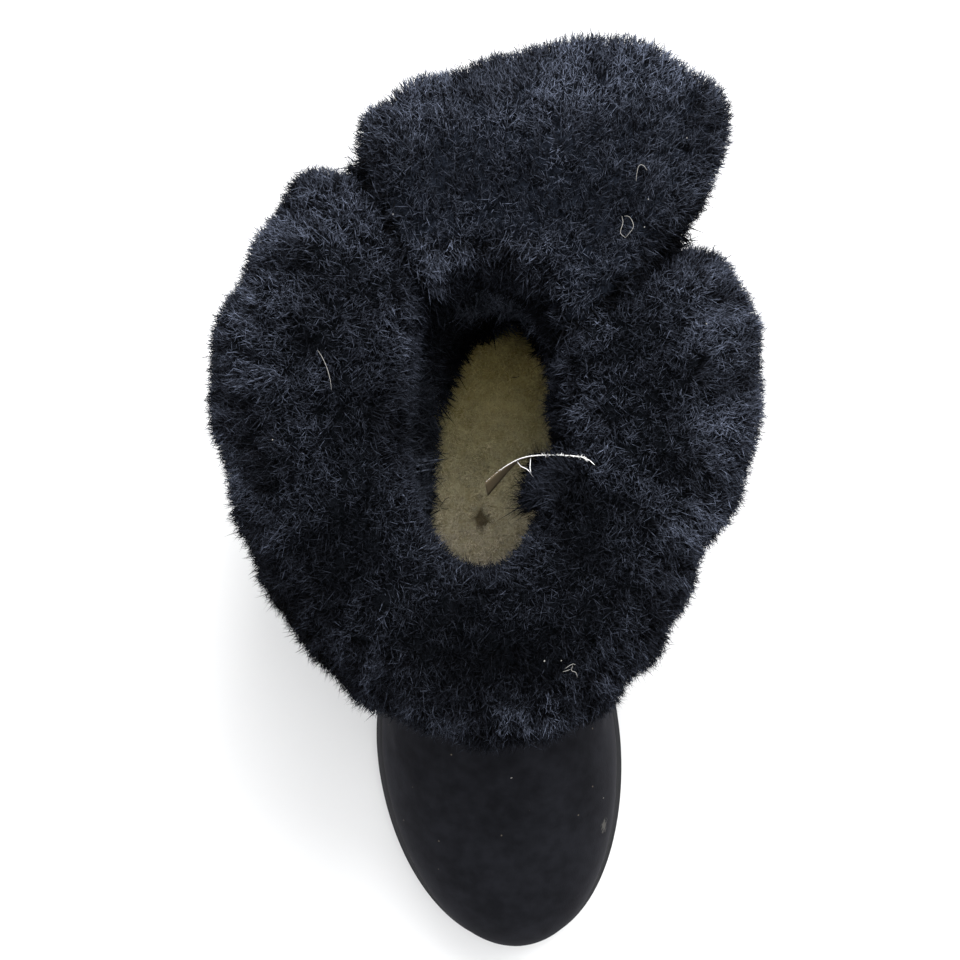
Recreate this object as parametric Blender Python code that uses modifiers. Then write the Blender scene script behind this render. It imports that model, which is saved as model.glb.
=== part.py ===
"""A sheepskin boot for the right foot, standing empty on its sole, in metres.

Toes point along -Y, the heel lies along +Y and the inner side of the foot is +X. The origin is on the
ground, at the middle of the heel's flat spot.
"""

import math

import bmesh
import bpy
import numpy as np

# Outline of the sole
SOLE_LENGTH = 0.270
BALL_WIDTH = 0.106
HEEL_OVERHANG = 0.040
HEEL_ROUND_SHARE = 0.16
HEEL_ROUNDNESS = 2.3
TOE_ROUND_SHARE = 0.32
TOE_ROUNDNESS = 2.1

# Thickness, tread and side of the sole
HEEL_THICKNESS = 0.022
BALL_THICKNESS = 0.015
TOE_THICKNESS = 0.013
TOE_SPRING = 0.008
ARCH_RISE = 0.003
HEEL_BEVEL = 0.0015
GROOVE_WIDTH = 0.004
GROOVE_DEPTH = 0.0022
LUG_PITCH = 0.0125
FOREFOOT_GROOVES = 7
FOREFOOT_TREAD_SHARE = 0.64
HEEL_GROOVES = 4
SIDE_GROOVE = 0.0016

# Upper
SUEDE_WALL = 0.002
SOLE_RIM = 0.003
TOE_BOX_HEIGHT = 0.057
INSTEP_HEIGHT = 0.100
COLLAR_HEIGHT = 0.158
SHAFT_WIDTH = 0.090
SHAFT_SHIFT = -0.0085
SECTION_ROUNDNESS = 2.3
ROOF_SLOPE = 6.0
ANKLE_START = 0.055
ANKLE_END = 0.115

# Insole and heel counter
INSOLE_THICKNESS = 0.009
INSOLE_CLEARANCE = 0.0015
COUNTER_THICKNESS = 0.0016
COUNTER_HEIGHT = 0.050
COUNTER_SIDE_SHARE = 0.3
COUNTER_COLUMNS = 10
COUNTER_ROWS = 7

# Fur cuff: the top of the shaft turned down with its wool outside
CUFF_REACH = 0.042
CUFF_DROP = 0.062
CREST_RISE = 0.012
RIM_LAP = 0.004
MOUTH_PILE = 0.020
MOUTH_DEPTH = 0.034
NOTCH_TURN = math.radians(56)
STEP_TURN = math.radians(326)
SPLIT_GAP = math.radians(0.8)
END_FULLNESS_SHARE = 0.70
END_TURN = math.radians(9)
LOCK_RELIEF = 0.0060
LOCKS_ROUND = 24
LOCK_ROWS = 5
LOWEST_LOCK_SHARE = 0.35
HIGHEST_LOCK_SHARE = 1.25
LOCK_ROOT_SHARE = 0.1
MOUTH_LOCK_SHARE = 0.35
LOCK_SEED = 11

# Fit
CLEARANCE = 0.0003
COUNTER_CLEARANCE = 0.0006
LINING_CLEARANCE = 0.0018
RIM_CLEARANCE = 0.0010
SOLE_SEAM = 0.0005

# Fineness of the meshes and of the searches on them
RING_POINTS = 48
RING_COUNT = 20
SECTION_COUNT = 96
FUR_POINTS = 16
TOP_LINE_POINTS = 240
TURN_STEP = 0.001
SEARCH_ROUNDS = 4
SOLE_EDGE_ANGLE = math.radians(40)
SOFT_EDGE_ANGLE = math.radians(60)

# Sole in plan: share of the length from the back, then the middle line's place and the half width as
# shares of the ball width, the inner side of the foot counted as positive.
SOLE_PLAN = (
    (0.00, 0.000, 0.360),
    (0.15, 0.000, 0.375),
    (0.38, -0.034, 0.372),
    (0.54, -0.026, 0.440),
    (0.68, -0.013, 0.498),
    (0.80, 0.008, 0.500),
    (1.00, 0.052, 0.500),
)

# Underside of the sole: share of the length from the back, then shares of the heel's bevel, of the
# arch's rise and of the toe spring.
SOLE_UNDERSIDE = (
    (0.00, 1.0, 0.0, 0.00),
    (0.05, 0.0, 0.0, 0.00),
    (0.25, 0.0, 0.0, 0.00),
    (0.40, 0.0, 1.0, 0.00),
    (0.52, 0.0, 0.0, 0.00),
    (0.76, 0.0, 0.0, 0.00),
    (0.88, 0.0, 0.0, 0.36),
    (1.00, 0.0, 0.0, 1.00),
)

# Thickness of the sole: share of the length from the back, then shares of the thickness at the heel,
# at the ball and at the toe.
SOLE_THICKNESS = (
    (0.00, 1.0, 0.0, 0.0),
    (0.22, 1.0, 0.0, 0.0),
    (0.45, 0.5, 0.5, 0.0),
    (0.65, 0.0, 1.0, 0.0),
    (1.00, 0.0, 0.0, 1.0),
)

# Side of the sole, from the ground up: share of the thickness, then the inset in shares of the side
# groove's depth.
SOLE_SIDE = (
    (0.00, 1.9),
    (0.12, 0.4),
    (0.26, 0.0),
    (0.52, 0.1),
    (0.58, 1.0),
    (0.66, 1.0),
    (0.72, 0.0),
    (0.92, 0.2),
    (1.00, 1.1),
)

# Edge of the insole, from its underside up: share of the thickness, then the inset in the same share.
INSOLE_SIDE = ((0.0, 0.05), (0.35, 0.0), (0.8, 0.12), (1.0, 0.45))

# Top line of the boot seen from the side: share of the sole's length from the back, then the height as
# a stage, where 0 is the sole's top, 1 the toe box, 2 the instep and 3 the collar.
TOP_LINE = (
    (0.989, 0.00),
    (0.988, 0.26),
    (0.974, 0.54),
    (0.940, 0.77),
    (0.890, 0.92),
    (0.825, 1.05),
    (0.750, 1.19),
    (0.660, 1.40),
    (0.570, 1.66),
    (0.500, 2.00),
    (0.462, 2.35),
    (0.441, 2.72),
    (0.430, 3.00),
)

# Heel line seen from the side: height as a share of the collar's, then the distance behind the back of
# the upper's lowest ring, as a share of the sole's length.
HEEL_LINE = (
    (0.00, 0.000),
    (0.14, 0.010),
    (0.32, 0.012),
    (0.50, 0.003),
    (0.68, 0.006),
    (1.00, 0.032),
)

# Turned-down cuff round the boot: turn from the back towards the inner side in degrees, then its reach,
# its drop and the depth of wool in the mouth, as shares of the named sizes.
WRAP_SECTIONS = (
    (56, 0.90, 0.72, 0.80),
    (67, 1.07, 0.84, 0.95),
    (83, 1.05, 0.94, 1.02),
    (97, 0.97, 1.00, 1.00),
    (106, 0.88, 1.02, 0.98),
    (115, 0.78, 1.02, 0.95),
    (123, 0.85, 1.03, 0.95),
    (132, 0.87, 1.04, 0.95),
    (148, 0.95, 1.04, 0.88),
    (163, 1.01, 0.98, 0.70),
    (180, 0.99, 0.96, 0.62),
    (198, 0.91, 0.98, 0.70),
    (217, 0.91, 1.02, 0.84),
    (240, 0.88, 1.00, 0.90),
    (258, 0.87, 0.98, 0.90),
    (278, 1.00, 0.96, 0.92),
    (300, 0.95, 0.90, 0.85),
    (312, 1.00, 0.82, 0.72),
    (326, 0.88, 0.72, 0.66),
)

# Back flap, which stands out behind the boot, in the same columns.
FLAP_SECTIONS = (
    (-34, 0.99, 0.62, 0.62),
    (-25, 1.09, 0.62, 0.58),
    (-8, 1.16, 0.60, 0.54),
    (8, 1.34, 0.58, 0.52),
    (27, 1.68, 0.56, 0.62),
    (40, 1.76, 0.56, 0.74),
    (49, 1.66, 0.58, 0.80),
    (56, 1.20, 0.62, 0.80),
)

# Wool side of the cuff's section, from inside the mouth over the crest to the hem: outwards as a share
# of the reach, or below zero of the wool in the mouth, then upwards as a share of the crest's rise, or
# below zero of the mouth's depth and of the drop.
WOOL_PROFILE = (
    (-0.12, -1.00),
    (-0.66, -0.80),
    (-1.00, -0.38),
    (-0.92, 0.10),
    (-0.55, 0.66),
    (-0.10, 0.96),
    (0.20, 1.00),
    (0.52, 0.76),
    (0.80, 0.16),
    (0.96, -0.18),
    (1.00, -0.44),
    (0.95, -0.70),
    (0.84, -0.90),
    (0.70, -1.00),
)

# Places along the wool side, from 0 in the mouth to 1 at the hem, between which the locks reach their
# full height.
MOUTH_EDGE = 0.2
CREST_EDGE = 0.5

# Skin side of the section, from the hem back up to the rim, in the same shares.
SKIN_PROFILE = ((0.54, -0.90), (0.34, -0.62), (0.14, -0.30))

# Depths below the rim, as shares of the mouth's depth, through which the wool's back follows the shaft.
LINING_LEVELS = (0.35, 0.70, 1.00)


def linear(channel):
    return channel / 12.92 if channel <= 0.04045 else ((channel + 0.055) / 1.055) ** 2.4


def finish(name, colour, roughness):
    """A plain Principled material from an sRGB hex colour."""
    material = bpy.data.materials.new(name)
    material.use_nodes = True
    shader = material.node_tree.nodes["Principled BSDF"]
    channels = [linear(int(colour[i : i + 2], 16) / 255) for i in (0, 2, 4)]
    shader.inputs["Base Color"].default_value = (*channels, 1.0)
    shader.inputs["Roughness"].default_value = roughness
    material.diffuse_color = (*channels, 1.0)
    return material


def through(places, values, at):
    """Smooth curve through the points, with slopes that never overshoot."""
    places, values, at = (np.asarray(item, dtype=float) for item in (places, values, at))
    spans = np.diff(places)
    rises = np.diff(values) / spans
    slopes = np.zeros_like(values)
    slopes[0], slopes[-1] = rises[0], rises[-1]
    before, after = rises[:-1], rises[1:]
    same_way = before * after > 0
    total = np.where(same_way, before + after, 1.0)
    slopes[1:-1] = np.where(same_way, 2 * before * after / total, 0.0)
    i = np.clip(np.searchsorted(places, at) - 1, 0, len(spans) - 1)
    t = np.clip((at - places[i]) / spans[i], 0.0, 1.0)
    rise = spans[i] * ((t**3 - 2 * t**2 + t) * slopes[i] + (t**3 - t**2) * slopes[i + 1])
    return values[i] * (2 * t**3 - 3 * t**2 + 1) + values[i + 1] * (3 * t**2 - 2 * t**3) + rise


def column(table, index):
    return [row[index] for row in table]


def weighted(table, at, sizes):
    """Sum of the sizes, each times its own share column of the table."""
    return sum(size * through(column(table, 0), column(table, i + 1), at) for i, size in enumerate(sizes))


def ease(value, start, end):
    t = np.clip((value - start) / (end - start), 0.0, 1.0)
    return t * t * (3 - 2 * t)


def rounded_end(share, length, roundness):
    """Width left near an end of the outline, where share runs in from that end."""
    inward = np.clip(1 - share / length, 0.0, 1.0)
    return (1 - inward**roundness) ** (1 / roundness)


def share_at(y, inset):
    return np.clip((HEEL_OVERHANG - inset - y) / (SOLE_LENGTH - 2 * inset), 0.0, 1.0)


def plan_at(share, inset):
    """Middle line and half width of the sole's outline, drawn in by the inset."""
    middle = BALL_WIDTH * through(column(SOLE_PLAN, 0), column(SOLE_PLAN, 1), share)
    half = BALL_WIDTH * through(column(SOLE_PLAN, 0), column(SOLE_PLAN, 2), share) - inset
    heel = rounded_end(share, HEEL_ROUND_SHARE, HEEL_ROUNDNESS)
    toe = rounded_end(1 - share, TOE_ROUND_SHARE, TOE_ROUNDNESS)
    return middle, half * heel * toe


def sole_bottom(share):
    return weighted(SOLE_UNDERSIDE, share, (HEEL_BEVEL, ARCH_RISE, TOE_SPRING))


def sole_top(share):
    sizes = (HEEL_THICKNESS, BALL_THICKNESS, TOE_THICKNESS)
    return sole_bottom(share) + weighted(SOLE_THICKNESS, share, sizes)


def new_object(name, mesh, collection, material):
    obj = bpy.data.objects.new(name, mesh)
    collection.objects.link(obj)
    if material is not None:
        mesh.materials.append(material)
    return obj


def shade(obj, angle):
    obj.data.shade_smooth()
    obj.data.set_sharp_from_angle(angle=angle)


def loft(name, rings, close_ring=True, ladders=False, caps=False):
    """Mesh through rings of points. Ladders fill an end across the ring, caps fill it with one face."""
    build = bmesh.new()
    rows = [[build.verts.new(point) for point in ring] for ring in rings]
    count = len(rows[0])
    for lower, upper in zip(rows, rows[1:]):
        for i in range(count if close_ring else count - 1):
            j = (i + 1) % count
            build.faces.new((lower[i], lower[j], upper[j], upper[i]))
    for row in (rows[0], rows[-1]):
        if caps:
            build.faces.new(row)
        if ladders:
            for i in range(count // 2):
                corners = (row[i], row[i + 1], row[-i - 1], row[-i])
                build.faces.new(list(dict.fromkeys(corners)))
    build.normal_update()
    bmesh.ops.triangulate(build, faces=build.faces)
    bmesh.ops.recalc_face_normals(build, faces=build.faces)
    mesh = bpy.data.meshes.new(name)
    build.to_mesh(mesh)
    build.free()
    return mesh


def outline_ring(points, inset, height_at):
    """Closed ring along the sole's outline, its points in pairs across the foot."""
    ring = []
    for turn in np.arange(points) * 2 * math.pi / points:
        share = (1 - math.cos(turn)) / 2
        middle, half = plan_at(share, inset)
        side = 1 if turn <= math.pi else -1
        y = HEEL_OVERHANG - inset - share * (SOLE_LENGTH - 2 * inset)
        ring.append((float(middle + side * half), y, float(height_at(share))))
    return ring


def outsole(collection, cutters):
    def ring(level, inset):
        def height(share):
            return sole_bottom(share) + level * (sole_top(share) - sole_bottom(share))

        return outline_ring(RING_POINTS, inset * SIDE_GROOVE, height)

    rings = [ring(level, inset) for level, inset in SOLE_SIDE]
    mesh = loft("outsole", rings, ladders=True)
    sole = new_object("outsole", mesh, collection, finish("moulded_eva", "1B1B1D", 0.62))
    heel_places = [(i + 0.5 - HEEL_GROOVES / 2) * LUG_PITCH for i in range(HEEL_GROOVES)]
    ball = HEEL_OVERHANG - FOREFOOT_TREAD_SHARE * SOLE_LENGTH
    ball_places = [ball + (i - (FOREFOOT_GROOVES - 1) / 2) * LUG_PITCH for i in range(FOREFOOT_GROOVES)]
    for number, y in enumerate(heel_places + ball_places):
        level = float(sole_bottom(share_at(y, 0.0)))
        bpy.ops.mesh.primitive_cube_add(size=1, location=(0, y, level))
        cutter = bpy.context.object
        cutter.name = f"tread_groove_{number + 1}"
        cutter.scale = (2 * BALL_WIDTH, GROOVE_WIDTH, 2 * GROOVE_DEPTH)
        for home in list(cutter.users_collection):
            home.objects.unlink(cutter)
        cutters.objects.link(cutter)
        cutter.hide_render = True
        cutter.display_type = "WIRE"
        groove = sole.modifiers.new(cutter.name, "BOOLEAN")
        groove.object = cutter
        groove.operation = "DIFFERENCE"
        groove.solver = "EXACT"
    shade(sole, SOLE_EDGE_ANGLE)


def insole(collection):
    inset = SOLE_RIM + SUEDE_WALL + INSOLE_CLEARANCE

    def ring(level, edge):
        def height(share):
            return sole_top(share) + SOLE_SEAM + level * INSOLE_THICKNESS

        return outline_ring(RING_POINTS, inset + edge * INSOLE_THICKNESS, height)

    mesh = loft("insole", [ring(level, edge) for level, edge in INSOLE_SIDE], ladders=True)
    shade(new_object("insole", mesh, collection, finish("cream_wool", "8C8266", 0.95)), SOLE_EDGE_ANGLE)


def stage_height(stage):
    """Height above the ground of a stage on the top line."""
    low = float(sole_top(1.0)) + SOLE_SEAM
    return np.interp(stage, (0, 1, 2, 3), (low, TOE_BOX_HEIGHT, INSTEP_HEIGHT, COLLAR_HEIGHT))


def top_line(count):
    """Points (y, height) evenly spaced along the top line, from the toe to the collar."""
    back = HEEL_OVERHANG - np.array(column(TOP_LINE, 0)) * SOLE_LENGTH
    heights = stage_height(column(TOP_LINE, 1))
    steps = np.hypot(np.diff(back), np.diff(heights))
    places = np.concatenate(([0.0], np.cumsum(steps)))
    at = np.linspace(0.0, places[-1], count)
    return through(places, back, at), through(places, heights, at)


def level_of(height, y):
    """Level of a ring, from 0 on the sole to the collar's height, that passes a height at y."""
    low = sole_top(share_at(y, SOLE_RIM)) + SOLE_SEAM
    return (height - low) * COLLAR_HEIGHT / (COLLAR_HEIGHT - low)


def upper_form():
    """Function that gives the upper's outer surface at a turn from the heel and a level."""
    front_y, front_height = top_line(TOP_LINE_POINTS)
    front_level = level_of(front_height, front_y)

    toe = HEEL_OVERHANG - SOLE_LENGTH + SOLE_RIM

    def surface(turn, level):
        front = np.interp(level, front_level, front_y)
        heel = through(column(HEEL_LINE, 0), column(HEEL_LINE, 1), level / COLLAR_HEIGHT)
        back = HEEL_OVERHANG - SOLE_RIM + heel * SOLE_LENGTH
        y = back + (front - back) * (1 - math.cos(turn)) / 2
        middle, half = plan_at(np.clip((back - y) / (back - toe), 0.0, 1.0), SOLE_RIM)
        roof = np.interp(y, front_y, front_level) + ROOF_SLOPE * max(y - front_y[-1], 0.0)
        form = (1 - min(level / max(roof, CLEARANCE), 1.0) ** SECTION_ROUNDNESS) ** (1 / SECTION_ROUNDNESS)
        shaft = ease(level, ANKLE_START, ANKLE_END)
        oval = SHAFT_WIDTH / 2 * abs(math.sin(turn))
        reach = math.copysign(half * form * (1 - shaft) + oval * shaft, math.sin(turn))
        low = sole_top(share_at(y, SOLE_RIM)) + SOLE_SEAM
        height = low + level * (COLLAR_HEIGHT - low) / COLLAR_HEIGHT
        return np.array((float(middle + shaft * (SHAFT_SHIFT - middle) + reach), float(y), float(height)))

    return surface


def outward(surface, turn, level):
    """Level direction that points away from the upper's surface."""
    along = surface(turn + TURN_STEP, level) - surface(turn - TURN_STEP, level)
    direction = np.array((-along[1], along[0], 0.0))
    return direction / np.linalg.norm(direction)


def upper(collection, surface):
    front_y, front_height = top_line(RING_COUNT)
    levels = level_of(front_height, front_y)
    levels[0] = 0.0
    turns = np.arange(RING_POINTS) * 2 * math.pi / RING_POINTS
    rings = [[surface(turn, level) for turn in turns] for level in levels]
    mesh = loft("upper", rings)
    obj = new_object("upper", mesh, collection, finish("black_suede", "1D1E22", 0.92))
    wall = obj.modifiers.new("wall", "SOLIDIFY")
    wall.thickness = SUEDE_WALL
    wall.offset = -1
    wall.use_even_offset = True
    shade(obj, SOFT_EDGE_ANGLE)


def heel_counter(collection, surface):
    """Suede patch round the heel, its top edge falling away to the sides."""
    columns = range(-COUNTER_COLUMNS, COUNTER_COLUMNS + 1)
    sheet = []
    for row in range(COUNTER_ROWS):
        line = []
        for place in columns:
            turn = place * 2 * math.pi / RING_POINTS
            arch = math.cos(place / COUNTER_COLUMNS * math.pi / 2)
            top = COUNTER_HEIGHT * (COUNTER_SIDE_SHARE + (1 - COUNTER_SIDE_SHARE) * arch)
            level = CLEARANCE + row / (COUNTER_ROWS - 1) * top
            line.append(surface(turn, level) + COUNTER_CLEARANCE * outward(surface, turn, level))
        sheet.append(line)
    mesh = loft("heel_counter", sheet, close_ring=False)
    obj = new_object("heel_counter", mesh, collection, finish("counter_suede", "1F2024", 0.92))
    wall = obj.modifiers.new("wall", "SOLIDIFY")
    wall.thickness = COUNTER_THICKNESS
    wall.offset = 1
    shade(obj, SOFT_EDGE_ANGLE)


def smooth_profile(rows, count):
    """The profile's points drawn as one smooth line and spaced evenly by row."""
    places = np.arange(len(rows))
    at = np.linspace(0, len(rows) - 1, count)
    return list(zip(through(places, column(rows, 0), at), through(places, column(rows, 1), at)))


def lock_heights():
    rng = np.random.default_rng(LOCK_SEED)
    return rng.uniform(LOWEST_LOCK_SHARE, HIGHEST_LOCK_SHARE, (LOCK_ROWS, LOCKS_ROUND))


def lock_relief(turn, place, heights):
    """Height of the wool's locks: staggered scales that thicken towards their lower tips."""
    row = min(int(place * LOCK_ROWS), LOCK_ROWS - 1)
    along = place * LOCK_ROWS - row
    around = turn / (2 * math.pi) * LOCKS_ROUND + 0.5 * (row % 2)
    lock = math.floor(around)
    ridge = 1 - (2 * (around - lock) - 1) ** 2
    outside = MOUTH_LOCK_SHARE + (1 - MOUTH_LOCK_SHARE) * float(ease(place, MOUTH_EDGE, CREST_EDGE))
    thickness = LOCK_ROOT_SHARE + (1 - LOCK_ROOT_SHARE) * along
    return LOCK_RELIEF * outside * heights[row, lock % LOCKS_ROUND] * ridge * thickness


def seen_from(middle, away, surface, turn, level):
    """Distance from the middle to the surface at a level, measured in the section's own plane."""
    for _ in range(SEARCH_ROUNDS):
        here, ahead = (surface(turn + shift, level)[:2] - middle[:2] for shift in (0.0, TURN_STEP))
        aside = away[0] * here[1] - away[1] * here[0]
        change = (away[0] * ahead[1] - away[1] * ahead[0] - aside) / TURN_STEP
        turn -= aside / change
    return float(here @ away[:2])


def cuff_section(surface, turn, reach, drop, pile, fullness, heights):
    """Closed flat section of the cuff, hooked over the rim with a clearance on both of its faces."""
    rim = surface(turn, COLLAR_HEIGHT)
    middle = (surface(0, COLLAR_HEIGHT) + surface(math.pi, COLLAR_HEIGHT)) / 2
    away = (rim - middle) * np.array((1, 1, 0))
    away /= np.linalg.norm(away)
    skew = float(outward(surface, turn, COLLAR_HEIGHT) @ away)
    inner = -(SUEDE_WALL + LINING_CLEARANCE) / skew
    outer = RIM_CLEARANCE / skew

    def lean(up):
        """How far the shaft's outer face, that far below the rim, stands out past the rim."""
        level = level_of(COLLAR_HEIGHT + min(up, 0.0), rim[1])
        return seen_from(middle, away, surface, turn, level) - float((rim - middle) @ away)

    flat = []
    for out, share in smooth_profile(WOOL_PROFILE, FUR_POINTS):
        depth = MOUTH_DEPTH if out < 0 else drop
        up = share * (CREST_RISE * fullness if share >= 0 else depth)
        across = out * reach * fullness if out >= 0 else lean(up) + inner + out * pile * fullness
        flat.append((across, up))
    flat = np.array(flat)
    tangent = np.gradient(flat, axis=0)
    normal = np.stack((-tangent[:, 1], tangent[:, 0]), axis=1)
    normal /= np.linalg.norm(normal, axis=1)[:, None]
    for i in range(1, FUR_POINTS):
        flat[i] += normal[i] * lock_relief(turn, i / (FUR_POINTS - 1), heights)
    flat = list(flat)
    for out, share in SKIN_PROFILE:
        foot = lean(share * drop)
        flat.append((foot + outer + out * max(reach - foot, 0.0), share * drop))
    flat.append((outer, -RIM_LAP))
    flat.append((outer, RIM_CLEARANCE))
    flat.append((inner, RIM_CLEARANCE))
    for share in LINING_LEVELS:
        flat.append((lean(-share * MOUTH_DEPTH) + inner, -share * MOUTH_DEPTH))
    return [rim + away * across + np.array((0, 0, up)) for across, up in flat]


def cuff(name, collection, surface, table, first, last):
    """Solid of wool between two turns, its sections read from the table."""
    heights = lock_heights()
    grid = np.arange(-SECTION_COUNT, 2 * SECTION_COUNT) * 2 * math.pi / SECTION_COUNT
    inside = grid[(grid > first + 2 * SPLIT_GAP) & (grid < last - 2 * SPLIT_GAP)]
    turns = [first + SPLIT_GAP, *inside, last - SPLIT_GAP]
    rings = []
    for turn in turns:
        degrees = math.degrees(turn)
        reach = CUFF_REACH * through(column(table, 0), column(table, 1), degrees)
        drop = CUFF_DROP * through(column(table, 0), column(table, 2), degrees)
        pile = MOUTH_PILE * through(column(table, 0), column(table, 3), degrees)
        from_end = min(turn - first, last - turn) / END_TURN
        fullness = 1 - (1 - END_FULLNESS_SHARE) * (1 - min(from_end, 1.0)) ** 2
        rings.append(cuff_section(surface, turn, reach, drop, pile, fullness, heights))
    mesh = loft(name, rings, caps=True)
    shade(new_object(name, mesh, collection, finish(f"{name}_wool", "22242A", 1.0)), SOFT_EDGE_ANGLE)


def main():
    for obj in list(bpy.data.objects):
        bpy.data.objects.remove(obj, do_unlink=True)
    boot = bpy.data.collections.new("sheepskin_boot")
    cutters = bpy.data.collections.new("cutters")
    for collection in (boot, cutters):
        bpy.context.scene.collection.children.link(collection)
    surface = upper_form()
    outsole(boot, cutters)
    insole(boot)
    upper(boot, surface)
    heel_counter(boot, surface)
    cuff("cuff_wrap", boot, surface, WRAP_SECTIONS, NOTCH_TURN, STEP_TURN)
    cuff("cuff_flap", boot, surface, FLAP_SECTIONS, STEP_TURN - 2 * math.pi, NOTCH_TURN)


main()
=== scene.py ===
# %% [markdown]
# A black sheepskin boot, seen from straight above
#
# This lesson dresses a boot that is already built as plain solids. The solids give every size. Each step
# below explains one piece or one finish of the real boot, then makes it.

# %% Load the fixed frame
import math

import bpy
import numpy as np
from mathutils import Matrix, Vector, noise
from mathutils.bvhtree import BVHTree


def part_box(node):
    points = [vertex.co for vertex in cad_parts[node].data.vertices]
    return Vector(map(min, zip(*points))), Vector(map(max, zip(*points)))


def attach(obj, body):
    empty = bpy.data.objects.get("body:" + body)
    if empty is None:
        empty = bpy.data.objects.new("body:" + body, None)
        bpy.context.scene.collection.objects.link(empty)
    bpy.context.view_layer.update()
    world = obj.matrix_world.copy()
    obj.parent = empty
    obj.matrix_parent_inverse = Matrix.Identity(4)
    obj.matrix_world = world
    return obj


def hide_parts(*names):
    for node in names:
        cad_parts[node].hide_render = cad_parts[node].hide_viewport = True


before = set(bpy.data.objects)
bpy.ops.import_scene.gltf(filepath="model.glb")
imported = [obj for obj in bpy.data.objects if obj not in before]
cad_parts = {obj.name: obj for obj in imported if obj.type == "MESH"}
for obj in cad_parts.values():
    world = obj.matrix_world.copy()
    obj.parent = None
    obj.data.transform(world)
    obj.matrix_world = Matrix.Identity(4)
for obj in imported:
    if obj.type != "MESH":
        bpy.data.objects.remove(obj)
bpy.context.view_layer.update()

MM = 0.001
print("nodes:", ", ".join(sorted(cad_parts)))

# %% [markdown]
# The camera hangs straight above the boot, as the photographer's did. From its place the fur cuff,
# nearer to the lens, is drawn at nearly one and a half times the sole's scale, which is what makes this
# view special. A focal length in pixels turns into millimetres through the sensor's width.

# %% Camera
SOLE_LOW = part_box("outsole")[0]
SENSOR = 36.0
IMAGE_WIDTH = 960
FOCAL_PIXELS = 1173
CAMERA_HEIGHT = 0.515
CAMERA_BEHIND_TOE = 0.1963
CAMERA_ASIDE = -0.0092


def into_scene(name, data):
    """New object with this data, in the scene."""
    obj = bpy.data.objects.new(name, data)
    bpy.context.scene.collection.objects.link(obj)
    return obj


camera_data = bpy.data.cameras.new("camera")
camera_data.sensor_width = SENSOR
camera_data.lens = SENSOR * FOCAL_PIXELS / IMAGE_WIDTH
camera_data.clip_start = 0.01
camera = into_scene("camera", camera_data)
camera.location = (CAMERA_ASIDE, SOLE_LOW[1] + CAMERA_BEHIND_TOE, CAMERA_HEIGHT)
bpy.context.scene.camera = camera
print("lens", round(camera_data.lens, 1), "mm, camera over y =", round(camera.location.y, 4))

# %% [markdown]
# Black wool and black suede only read as black when broad, soft light skims over them. One large panel
# stands behind the boot on its inner side, where the photo's light comes from. A ceiling panel reaches
# down the shaft to the insole, two weaker ones fill the other sides, and a pale room fills the rest.

# %% Light and floor
BOOT_MIDDLE = Vector((-0.009, -0.05, 0.12))
# Each softbox faces the boot: its place and its width in metres, and its power in watts
SOFTBOXES = {
    "key_behind_inner_side": ((0.45, 0.95, 1.30), 0.9, 42),
    "ceiling": ((0.05, 0.20, 1.6), 0.8, 16),
    "fill_outer_side": ((-1.1, 0.1, 0.9), 1.0, 7),
    "fill_toe": ((-0.1, -1.2, 1.1), 1.0, 6),
}
ROOM_COLOUR = (0.94, 0.96, 1.0, 1.0)
ROOM_STRENGTH = 0.4
for name, (place, size, watts) in SOFTBOXES.items():
    data = bpy.data.lights.new(name, "AREA")
    data.size = size
    data.energy = watts
    light = into_scene(name, data)
    light.location = place
    light.rotation_euler = (BOOT_MIDDLE - Vector(place)).to_track_quat("-Z", "Y").to_euler()

world = bpy.data.worlds.new("pale_room")
world.use_nodes = True
room = world.node_tree.nodes["Background"].inputs
room["Color"].default_value = ROOM_COLOUR
room["Strength"].default_value = ROOM_STRENGTH
bpy.context.scene.world = world
bpy.context.scene.view_settings.view_transform = "Standard"


def only(obj):
    """Selects this object and nothing else."""
    bpy.ops.object.select_all(action="DESELECT")
    obj.select_set(True)
    bpy.context.view_layer.objects.active = obj


FLOOR_SIZE = 6.0
bpy.ops.mesh.primitive_plane_add(size=FLOOR_SIZE, location=(0, 0, 0))
floor = bpy.context.object
floor.name = "floor"

# %% [markdown]
# Every finish below starts from sRGB hex colours and a Principled shader. Two small helpers keep the
# node work short: one turns a hex colour to linear light, the other adds a node with its settings and
# links in one line.

# %% Material helpers


def linear(channel):
    return channel / 12.92 if channel <= 0.04045 else ((channel + 0.055) / 1.055) ** 2.4


def colour(text):
    return (*(linear(int(text[i : i + 2], 16) / 255) for i in (0, 2, 4)), 1.0)


def add(tree, kind, links=(), **settings):
    """Adds a node. Links pair an input's name or number with a socket, settings set the rest."""
    node = tree.nodes.new("ShaderNode" + kind)
    for name, value in settings.items():
        if name in node.inputs:
            node.inputs[name].default_value = value
        else:
            setattr(node, name, value)
    for name, socket in links:
        tree.links.new(socket, node.inputs[name])
    return node


def ramp(tree, factor, *stops):
    """Colour from a ramp with (place, hex colour) stops."""
    node = add(tree, "ValToRGB", [("Fac", factor)])
    while len(node.color_ramp.elements) < len(stops):
        node.color_ramp.elements.new(0.5)
    for element, (place, text) in zip(node.color_ramp.elements, stops):
        element.position = place
        element.color = colour(text)
    return node.outputs["Color"]


def maths(tree, operation, first, second):
    """Maths node on two sockets, or on a socket and a number."""
    node = add(tree, "Math", [(0, first)], operation=operation)
    if isinstance(second, (int, float)):
        node.inputs[1].default_value = second
    else:
        tree.links.new(second, node.inputs[1])
    return node.outputs[0]


def spread(tree, value, low, high, to_low=0.0, to_high=1.0):
    """Maps the range low to high onto another range, and clamps."""
    ends = {"From Min": low, "From Max": high, "To Min": to_low, "To Max": to_high}
    return add(tree, "MapRange", [("Value", value)], **ends).outputs["Result"]


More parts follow.
